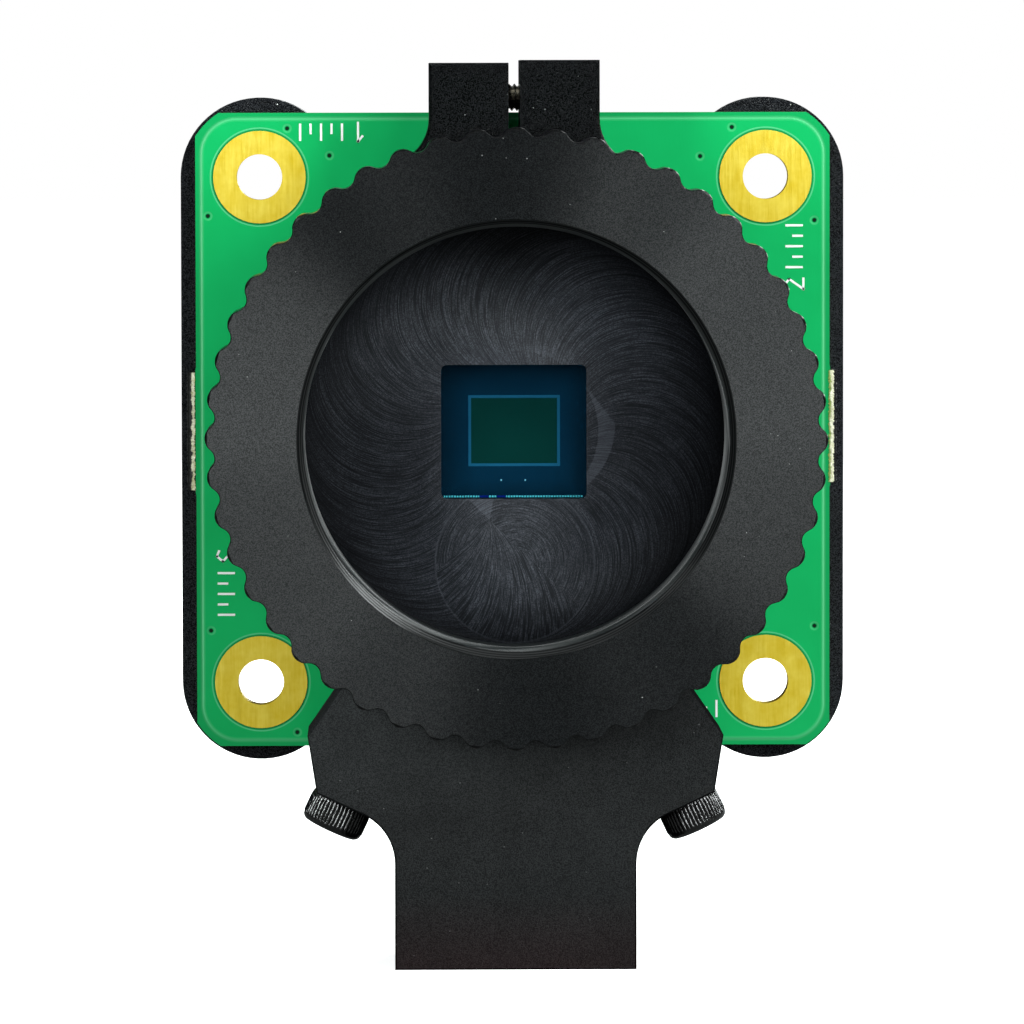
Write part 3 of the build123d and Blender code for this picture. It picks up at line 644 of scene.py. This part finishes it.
looks = {
    "ring": turned_ring(),
    "bore": bored_thread(),
    "housing": milled_housing(),
    # Darker plain black for the ring's broken edges and rim, partly painted shade for a dark outline
    "ring_edge": plain("ring_edge_black_and_painted_shade", (0.0012, 0.0014, 0.0015), 0.3, specular_ior_level=0.3),
    "mount": coated_mount(),
    "cover": black_satin("cover_black", (0.0024, 0.0028, 0.0040), 0.35, 0.012, 0.2, 1.0).material,
    "board": solder_mask(),
    "gold": gold_pads(),
    "sensor": sensor_top(),
    "cover_glass": thin_glass("cover_glass", (0.93, 0.98, 1.0), 0.006),
    "filter_glass": thin_glass("filter_glass", (0.80, 0.96, 1.0), 0.006),
    "package": plain("package_dark", (0.012, 0.03, 0.05), 0.6),
    "gasket": plain("gasket_black", (0.012, 0.012, 0.013), 0.8, depth_mm=0.02),
    "nickel": plain("nickel", (0.62, 0.58, 0.50), 0.26, 1.0),
    "oxide": plain(
        "black_oxide", (0.0018, 0.0017, 0.0015), 0.13, grain=4.0, depth_mm=0.05, specular_ior_level=0.75
    ),
    "connector": plain("connector_white", (0.62, 0.57, 0.44), 0.5),
    "contact": plain("contact_gold", (0.72, 0.55, 0.22), 0.28, 1.0),
    "latch": plain("latch_brown", (0.03, 0.018, 0.012), 0.42),
    "can": plain("lid_metal", (0.55, 0.54, 0.5), 0.3, 1.0),
    "chip": plain("chip_black", (0.016, 0.016, 0.017), 0.55),
    "capacitor": plain("capacitor_brown", (0.30, 0.17, 0.09), 0.45),
    "resistor": plain("resistor_black", (0.02, 0.02, 0.022), 0.4),
    "fibre": torn_fibre(),
    "silk": plain("silkscreen_white", (0.85, 0.87, 0.84), 0.6),
}

node_looks = {
    "circuit_board": "board",
    "mounting_hole_plating": "gold",
    "sensor_package": "package",
    "sensor_die": "sensor",
    "sensor_cover_glass": "cover_glass",
    "sensor_gasket": "gasket",
    "infrared_filter": "filter_glass",
    "main_housing": "housing",
    "focus_ring": "ring",
    "tripod_mount": "mount",
    "focus_lock_screw": "nickel",
    "tripod_mount_screws": "oxide",
    "housing_screws": "oxide",
    "housing_screw_washers": "nickel",
    "rear_cover": "cover",
    "ribbon_connector": "connector",
    "connector_contacts": "contact",
    "connector_latch": "latch",
    "clock_oscillator": "can",
    "voltage_regulators": "chip",
    "capacitors": "capacitor",
    "resistors": "resistor",
}
for node, look in node_looks.items():
    slots = frame["nodes"][node].data.materials
    slots.clear()
    slots.append(looks[look])


# Broken edges on the plain CAD pieces
for node, width_mm in (("main_housing", 0.12), ("tripod_mount", 0.10), ("rear_cover", 0.12)):
    solid = frame["nodes"][node]
    weld = solid.modifiers.new("weld", "WELD")
    weld.merge_threshold = 1e-6
    bevel = solid.modifiers.new("bevel", "BEVEL")
    bevel.width = width_mm * MM
    bevel.segments = 2
    bevel.limit_method = "ANGLE"
    bevel.angle_limit = radians(50)
    bevel.harden_normals = True


# Detailed pieces
def add_piece(name, vertices, faces, look, body, sharp=35):
    """Mesh object with a look, riding on a body."""
    mesh = bpy.data.meshes.new(name)
    mesh.from_pydata(vertices, [], faces)
    mesh.validate()
    mesh.shade_smooth()
    mesh.set_sharp_from_angle(angle=radians(sharp))
    mesh.materials.append(looks[look])
    piece = bpy.data.objects.new(name, mesh)
    bpy.context.scene.collection.objects.link(piece)
    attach(piece, body)
    return piece


class Turned:
    """Surfaces turned about an axis. A radius may be a function of the angle and the height.

    A profile runs from the top outwards, down the outside, and back up the inside of a bore.
    """

    def __init__(self, origin, axis, across):
        self.origin = origin
        self.axis = axis.normalized()
        self.across = across.normalized()
        self.side = self.axis.cross(self.across)
        self.vertices = []
        self.faces = []

    def ring(self, radius, height, segments):
        """Adds a ring of vertices."""
        for step in range(segments):
            angle = 2 * pi * step / segments
            reach = radius(angle, height) if callable(radius) else radius
            outward = self.across * cos(angle) + self.side * sin(angle)
            self.vertices.append(self.origin + (outward * reach + self.axis * height) * MM)

    def band(self, profile, segments):
        """Adds the surface of a profile of (radius, height) pairs, in millimetres."""
        start = len(self.vertices)
        for radius, height in profile:
            self.ring(radius, height, segments)
        for row in range(len(profile) - 1):
            for step in range(segments):
                ahead = (step + 1) % segments
                low, high = start + row * segments, start + (row + 1) * segments
                self.faces.append((low + step, high + step, high + ahead, low + ahead))

    def cap(self, radius, height, segments, upward=True):
        """Closes an end with a flat face, towards the axis or away from it."""
        start = len(self.vertices)
        self.ring(radius, height, segments)
        loop = range(start, start + segments)
        self.faces.append(tuple(loop if upward else reversed(loop)))


def thread(minor, major, pitch):
    """Radius of a right-hand screw thread at an angle and a height."""
    def radius(angle, height):
        phase = (height / pitch - angle / (2 * pi)) % 1
        crest = min(1, max(0, abs(2 * phase - 1) * 1.25 - 0.125))
        return minor + (major - minor) * crest
    return radius


def bulge(share, half_width, depth):
    """Height of an arc over its chord, at a share of the way from its middle to its end."""
    radius = (half_width ** 2 + depth ** 2) / (2 * depth)
    return sqrt(radius ** 2 - (share * half_width) ** 2) - (radius - depth)


def knurl_wave(angle):
    """Radius of the focus ring's rim at an angle: an arc over each tip and one under each valley."""
    depth = knurl_depth_mm / 2
    mean = ring_tip_mm - depth
    pitch = 2 * pi * mean / knurl_waves
    offset = abs(((angle - radians(knurl_turn)) * knurl_waves / (2 * pi) + 0.5) % 1 - 0.5)
    tip_half, valley_half = knurl_tip_share / 2, (1 - knurl_tip_share) / 2
    if offset < tip_half:
        return mean + bulge(offset / tip_half, tip_half * pitch, depth)
    return mean - bulge((0.5 - offset) / valley_half, valley_half * pitch, depth)


def rim(limit, inset=0.0):
    """Rim radius inside a turned limit and inset by a broken edge."""
    return lambda angle, height: min(knurl_wave(angle) - inset, limit)


def make_focus_ring():
    """Focus ring with its waves, broken edges, and the lens thread cut in its bore."""
    front = ring_high[1]
    back = front - flange_thickness_mm
    sleeve_end = ring_low[1]
    edge = ring_edge_step_mm
    outline = [
        (mouth_radius_mm, front),
        (mouth_radius_mm + 1.6, front),
        (15.8, front),
        (17.0, front),
        (rim(ring_tip_mm - ring_edge_mm, edge), front),
        (rim(ring_tip_mm - ring_edge_mm + edge), front - edge),
        (rim(ring_tip_mm), front - ring_edge_mm),
        (rim(ring_tip_mm), back + ring_edge_mm),
        (rim(ring_tip_mm - ring_edge_mm + edge), back + edge),
        (rim(ring_tip_mm - ring_edge_mm, edge), back),
        (17.0, back),
        (sleeve_radius_mm, back),
    ]
    chamfer = sleeve_chamfer_mm
    sleeve = [
        (sleeve_radius_mm, back),
        (sleeve_radius_mm, sleeve_end + chamfer),
        (sleeve_radius_mm - chamfer, sleeve_end),
        (relief_radius_mm + chamfer, sleeve_end),
        (relief_radius_mm, sleeve_end + chamfer),
        (relief_radius_mm, thread_bottom_mm),
        (mouth_radius_mm, thread_bottom_mm),
    ]
    cut = thread(thread_minor_mm, mouth_radius_mm, lens_thread_pitch_mm)
    wall_top = front - bore_thread_mm
    rows_per_turn = 10
    rows = ceil(bore_thread_mm / lens_thread_pitch_mm * rows_per_turn)
    bore = [
        (mouth_radius_mm, thread_bottom_mm),
        (thread_minor_mm, thread_bottom_mm),
        (thread_minor_mm, wall_top),
    ]
    for row in range(1, rows + 1):
        height = wall_top + bore_thread_mm * row / rows
        bore.append((threaded(cut, mouth_radius_mm - (front - height)), height))
    body = Turned(place(0, 0, 0), Vector((0, -1, 0)), Vector((1, 0, 0)))
    rim_segments = knurl_waves * 16
    body.band(outline, rim_segments)
    body.band(sleeve, 192)
    turned_faces = len(body.faces)
    body.band(bore, 288)
    piece = add_piece(
        "focus_ring_turned", body.vertices, body.faces, "ring", "ring", 30
    )
    piece.data.materials.append(looks["bore"])
    piece.data.materials.append(looks["ring_edge"])
    # Rows of faces from the broken edge at the front to the one at the back take a darker plain black: partly
    # their own finish without turning marks, partly painted shade that draws a dark outline
    first_row, last_row = 4, 9
    for face in piece.data.polygons[rim_segments * first_row:rim_segments * last_row]:
        face.material_index = 2
    for face in piece.data.polygons[turned_faces:]:
        face.material_index = 1
    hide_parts("focus_ring")


def threaded(cut, mouth):
    """Radius of the bore's thread, opened to a cone at its mouth."""
    return lambda angle, height: min(mouth_radius_mm, max(cut(angle, height), mouth))


def hexagon(size):
    """Radius of a hexagon that measures size across its flats."""
    def radius(angle, height):
        turn = angle % (pi / 3) - pi / 6
        return size / 2 / cos(turn)
    return radius


def ridged(radius, depth, count, low, high):
    """Radius of a straight knurl between two heights, plain beyond them."""
    def knurl(angle, height):
        if not low <= height <= high:
            return radius - depth * 0.5
        phase = (angle * count / (2 * pi)) % 1
        return radius - depth * (1 - abs(sin(pi * phase)) ** 0.6)
    return knurl


def cap_screw(name, seat, axis, across, head_mm, shank_mm, look, slot, ridges):
    """Cap screw: a knurled head of radius and height, and a shank of radius, length and pitch."""
    head_radius, head_height = head_mm
    shank_radius, shank_length, pitch = shank_mm
    screw = Turned(seat, axis, across)
    round_mm = 0.4
    knurl_low, knurl_high = head_height * 0.27, head_height - 0.5
    side = ridged(head_radius, 0.09, ridges, knurl_low, knurl_high)
    steps = 4
    lead = 0.12
    socket = hexagon(socket_key_mm)
    socket_floor = head_height * 0.45
    mouth = socket_key_mm / 2 * 1.16
    screw.cap(socket, socket_floor, 96)
    screw.band([(socket, socket_floor), (socket, head_height - lead), (mouth, head_height - lead)], 96)
    head = [(mouth, head_height - lead), (mouth + lead, head_height)]
    for step in range(steps + 1):
        bend = pi / 2 * step / steps
        radius = head_radius - 0.04 - round_mm * (1 - sin(bend))
        head.append((radius, head_height - round_mm * (1 - cos(bend))))
    head += [(side, knurl_high), (side, knurl_low)]
    foot_round_mm = 0.22
    for step in range(steps + 1):
        bend = pi / 2 * step / steps
        radius = head_radius - 0.04 - foot_round_mm * (1 - cos(bend))
        head.append((radius, foot_round_mm * (1 - sin(bend))))
    head.append((shank_radius, 0.0))
    screw.band(head, ridges * 8)
    cut = thread(shank_radius * 0.8, shank_radius, pitch)
    rows = ceil(shank_length / pitch * 8)
    shank = []
    for row in range(rows + 1):
        depth = shank_length * row / rows
        tip = shank_radius - max(0.0, depth - (shank_length - 0.35))
        shank.append((pointed(cut, tip), -depth))
    screw.band(shank, 40)
    screw.cap(shank[-1][0], -shank_length, 40, upward=False)
    return add_piece(name, screw.vertices, screw.faces, look, "camera", 32)


def pointed(cut, tip):
    """Radius of a shank's thread, no wider than the shank's broken tip."""
    return lambda angle, height: min(cut(angle, height), tip)


def make_mount_screws():
    """Two cap screws, square to the wings of the tripod mount."""
    low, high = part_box("tripod_mount_screws")
    level = (low[1] + high[1]) / 2
    shank_mm = (1.0, screw_seat_mm - mount_screw_tip_mm, 0.4)
    for side, name in ((-1, "left"), (1, "right")):
        turn = radians(screw_angle)
        axis = Vector((side * sin(turn), 0, -cos(turn)))
        seat = Vector((0, level, axis_z)) + axis * screw_seat_mm * MM
        across = Vector((0, 1, 0))
        piece = cap_screw(f"mount_screw_{name}", seat, axis, across, mount_head_mm, shank_mm, *black_screw)
        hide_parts("tripod_mount_screws")


def make_housing_screws():
    """Two cap screws from the rear, sunk in the rear cover."""
    low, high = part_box("housing_screws")
    seat_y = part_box("housing_screw_washers")[1][1]
    centre_x = high[0] - mount_head_mm[0] * MM
    head_mm = (mount_head_mm[0], (high[1] - seat_y) / MM)
    shank_mm = (1.0, (seat_y - low[1]) / MM, 0.4)
    for side, name in ((-1, "left"), (1, "right")):
        seat = Vector((side * centre_x, seat_y, axis_z))
        axis, across = Vector((0, 1, 0)), Vector((0, 0, 1))
        piece = cap_screw(f"housing_screw_{name}", seat, axis, across, head_mm, shank_mm, *black_screw)
        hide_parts("housing_screws")


def make_lock_screw():
    """Focus lock screw across the ears, whose thread shows in the slit."""
    low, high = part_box("focus_lock_screw")
    centre_y, centre_z = (low[1] + high[1]) / 2, (low[2] + high[2]) / 2
    seat = Vector((high[0] - lock_head_mm[1] * MM, centre_y, centre_z))
    shank_mm = (0.8, (seat.x - low[0]) / MM, 0.3)
    axis, across = Vector((1, 0, 0)), Vector((0, 1, 0))
    name = "focus_lock_screw_threaded"
    piece = cap_screw(name, seat, axis, across, lock_head_mm, shank_mm, *bright_screw)
    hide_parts("focus_lock_screw")


def make_torn_edges():
    """Ragged glass fibre along the two stubs where the board broke out of its panel."""
    rough = Random(7)
    for side, name in ((-1, "left"), (1, "right")):
        out_mm, length_mm, centre_mm = stubs_mm[side]
        vertices, faces = [], []
        section = (
            (-0.42, 0.02), (-0.2, 0.03), (0.0, -0.03), (0.04, -0.4),
            (0.02, -0.8), (0.04, -1.2), (-0.05, -1.42), (-0.5, -1.43),
        )
        along, around = 110, len(section)
        for step in range(along + 1):
            z = centre_mm + length_mm * (step / along - 0.5)
            ragged = rough.uniform(-0.04, 0.03)
            for x, d in section:
                reach = out_mm + x + ragged + rough.uniform(-0.03, 0.03)
                vertices.append(place(side * reach, d + rough.uniform(-0.015, 0.02), z))
        for step in range(along):
            for turn in range(around - 1):
                corner = step * around + turn
                face = (corner, corner + 1, corner + around + 1, corner + around)
                faces.append(face if side < 0 else tuple(reversed(face)))
        add_piece(f"torn_edge_{name}", vertices, faces, "fibre", "camera", 20)


def stroke(vertices, faces, start, end, width, at, along, level):
    """Adds a printed line between two points of a mark that stands at a place and runs along a direction."""
    along = Vector(along)
    up = Vector((-along.y, along.x))
    line = Vector(end) - Vector(start)
    side = Vector((-line.y, line.x)).normalized() * width / 2
    reach = line.normalized() * width / 2
    first = len(vertices)
    near, far = Vector(start) - reach, Vector(end) + reach
    for point in (near - side, far - side, far + side, near + side):
        spot = Vector(at) + along * point.x + up * point.y
        vertices.append(place(spot.x, level, spot.y))
    faces.append((first, first + 1, first + 2, first + 3))


def make_printed_marks():
    """Printed hole numbers, each with a short row of ticks, near the four mounting holes."""
    digits = {
        1: (((0.1, 0.8), (0.35, 1.1)), ((0.35, 1.1), (0.35, 0))),
        2: (((0, 0.9), (0.25, 1.1)), ((0.25, 1.1), (0.6, 0.85)), ((0.6, 0.85), (0, 0)), ((0, 0), (0.62, 0))),
        3: (
            ((0, 1.1), (0.6, 1.1)), ((0.6, 1.1), (0.28, 0.65)), ((0.28, 0.65), (0.6, 0.35)),
            ((0.6, 0.35), (0.3, 0)), ((0.3, 0), (0, 0.12)),
        ),
        4: (((0.45, 0), (0.45, 1.1)), ((0.45, 1.1), (0, 0.35)), ((0, 0.35), (0.65, 0.35))),
    }
    vertices, faces = [], []
    width_mm = 0.13
    print_mm = board_high.y + 0.012
    for number, at, along in printed_marks:
        for start, end in digits[number]:
            stroke(vertices, faces, start, end, width_mm, at, along, print_mm)
        for tick in range(5):
            x = 1.3 + tick * 0.62
            top = 1.0 if tick % 2 == 0 else 0.6
            stroke(vertices, faces, (x, 0.1), (x, top), width_mm, at, along, print_mm)
    add_piece("printed_marks", vertices, faces, "silk", "camera")


make_focus_ring()
make_torn_edges()
make_printed_marks()
make_mount_screws()
make_housing_screws()
make_lock_screw()


# Light, floor and camera
def soft_light(name, azimuth, elevation, distance, width, height, power):
    """Rectangular light round the object, facing it. Azimuth 0 is in front, and 90 to the right."""
    turn, rise = radians(azimuth), radians(elevation)
    away = Vector((sin(turn) * cos(rise), -cos(turn) * cos(rise), sin(rise)))
    data = bpy.data.lights.new(name, "AREA")
    data.shape = "RECTANGLE"
    data.size, data.size_y = width, height
    data.energy = power
    data.color = (0.94, 1.0, 1.0)
    light = bpy.data.objects.new(name, data)
    light.location = place(0, 0, 0) + away * distance
    light.rotation_euler = away.to_track_quat("Z", "Y").to_euler()
    bpy.context.scene.collection.objects.link(light)


soft_light("left_box", -41, 8, 0.40, 0.09, 0.26, 1.62)
soft_light("right_box", 43, 15, 0.40, 0.09, 0.26, 1.60)
soft_light("upper_box", 20, 35, 0.40, 0.07, 0.10, 0.32)
soft_light("top_box", -12, 70, 0.17, 0.20, 0.07, 0.06)
soft_light("right_rim", 69, 44, 0.30, 0.08, 0.08, 0.75)
soft_light("left_rim", -84, 42, 0.30, 0.08, 0.08, 0.07)
soft_light("rear_fill", 150, 24, 0.50, 0.30, 0.34, 3.6)
soft_light("upper_left_box", -20, 35, 0.40, 0.07, 0.10, 0.13)

floor_mesh = bpy.data.meshes.new("floor")
floor_half = 3.0
floor_corners = [(x * floor_half, y * floor_half, 0) for x, y in ((-1, -1), (1, -1), (1, 1), (-1, 1))]
floor_mesh.from_pydata(floor_corners, [], [(0, 1, 2, 3)])
floor = bpy.data.objects.new("floor", floor_mesh)
bpy.context.scene.collection.objects.link(floor)
floor_shade = Shade("floor_white")
from_foot = floor_shade.vector("LENGTH", floor_shade.join(floor_shade.x, floor_shade.d, 0.0))
glow = floor_shade.range(from_foot, 30.0, 160.0, 0.72, 1.0)
floor_shade.set(base_color=(0.85, 0.85, 0.85), roughness=0.9)
floor_shade.set(emission_color=(1, 1, 1), emission_strength=glow)
shown_floor = floor_shade.shader
floor_shade.new_shader()
floor_shade.set(base_color=(0.08, 0.08, 0.08), roughness=0.9)
floor_seen = floor_shade.tree.nodes.new("ShaderNodeLightPath")
floor_shade.blend(floor_seen.outputs["Is Camera Ray"], floor_shade.shader, shown_floor)
floor_mesh.materials.append(floor_shade.material)

world = bpy.data.worlds.new("studio")
bpy.context.scene.world = world
world.use_nodes = True
links, nodes = world.node_tree.links, world.node_tree.nodes
backdrop = nodes["Background"]
backdrop.inputs["Color"].default_value = (1, 1, 1, 1)
surroundings = nodes.new("ShaderNodeBackground")
surroundings.inputs["Color"].default_value = (0.9, 0.95, 1.0, 1)
surroundings.inputs["Strength"].default_value = 0.03
seen = nodes.new("ShaderNodeLightPath")
choice = nodes.new("ShaderNodeMixShader")
links.new(seen.outputs["Is Camera Ray"], choice.inputs[0])
links.new(surroundings.outputs[0], choice.inputs[1])
links.new(backdrop.outputs[0], choice.inputs[2])
links.new(choice.outputs[0], nodes["World Output"].inputs[0])

camera_azimuth = radians(-0.884)
camera_elevation = radians(3.153)
camera_roll = radians(-0.104)
camera_distance = 0.46304
camera_target = place(-0.07, 0, -4.909)
camera_data = bpy.data.cameras.new("camera")
camera_data.lens = 274.01
camera_data.sensor_width = 36.0
camera = bpy.data.objects.new("camera", camera_data)
back = Vector((
    sin(camera_azimuth) * cos(camera_elevation),
    -cos(camera_azimuth) * cos(camera_elevation),
    sin(camera_elevation),
))
right = Vector((cos(camera_azimuth), sin(camera_azimuth), 0))
up = back.cross(right)
rolled_right = right * cos(camera_roll) + up * sin(camera_roll)
rolled_up = up * cos(camera_roll) - right * sin(camera_roll)
turned = Matrix((rolled_right, rolled_up, back)).transposed().to_4x4()
camera.matrix_world = Matrix.Translation(camera_target + back * camera_distance) @ turned
bpy.context.scene.collection.objects.link(camera)
bpy.context.scene.camera = camera
bpy.context.scene.view_settings.view_transform = "Standard"
